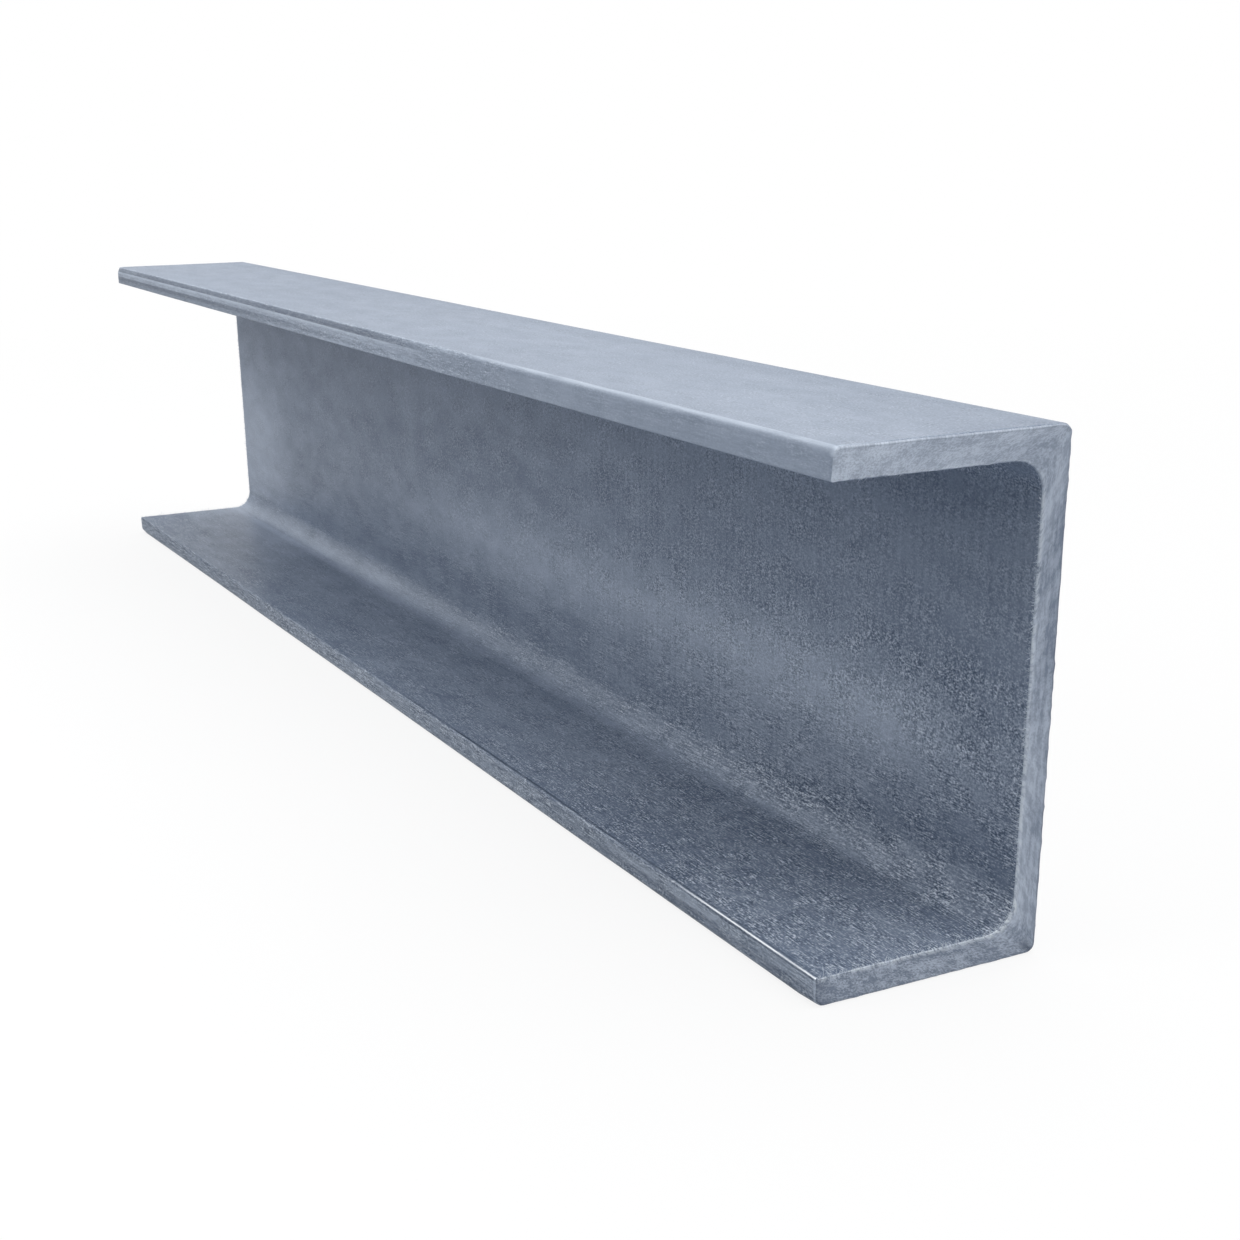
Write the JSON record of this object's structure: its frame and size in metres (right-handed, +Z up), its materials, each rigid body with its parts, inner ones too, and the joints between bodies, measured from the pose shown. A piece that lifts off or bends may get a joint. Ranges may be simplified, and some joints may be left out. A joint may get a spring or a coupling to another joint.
{
  "type": "fiberglass u-channel",
  "caption": "Pultruded fiberglass U-channel: a deep web with equal flanges to one side, rounded heels and toes and filleted roots, sawn square at both ends, for framing and edging.",
  "frame": {"origin": "middle of the length and of the flange width, on the surface under the lower flange", "axes": "+X along the length, +Y out of the back of the web, +Z up from the lower flange to the upper flange; the open side faces -Y"},
  "size_m": [0.47, 0.05, 0.1],
  "materials": {
    "fiberglass": "blue-grey pultruded fiberglass with a fine veil texture, satin"
  },
  "bodies": {
    "root": {"u_channel": "fiberglass"}
  },
  "joints": []
}
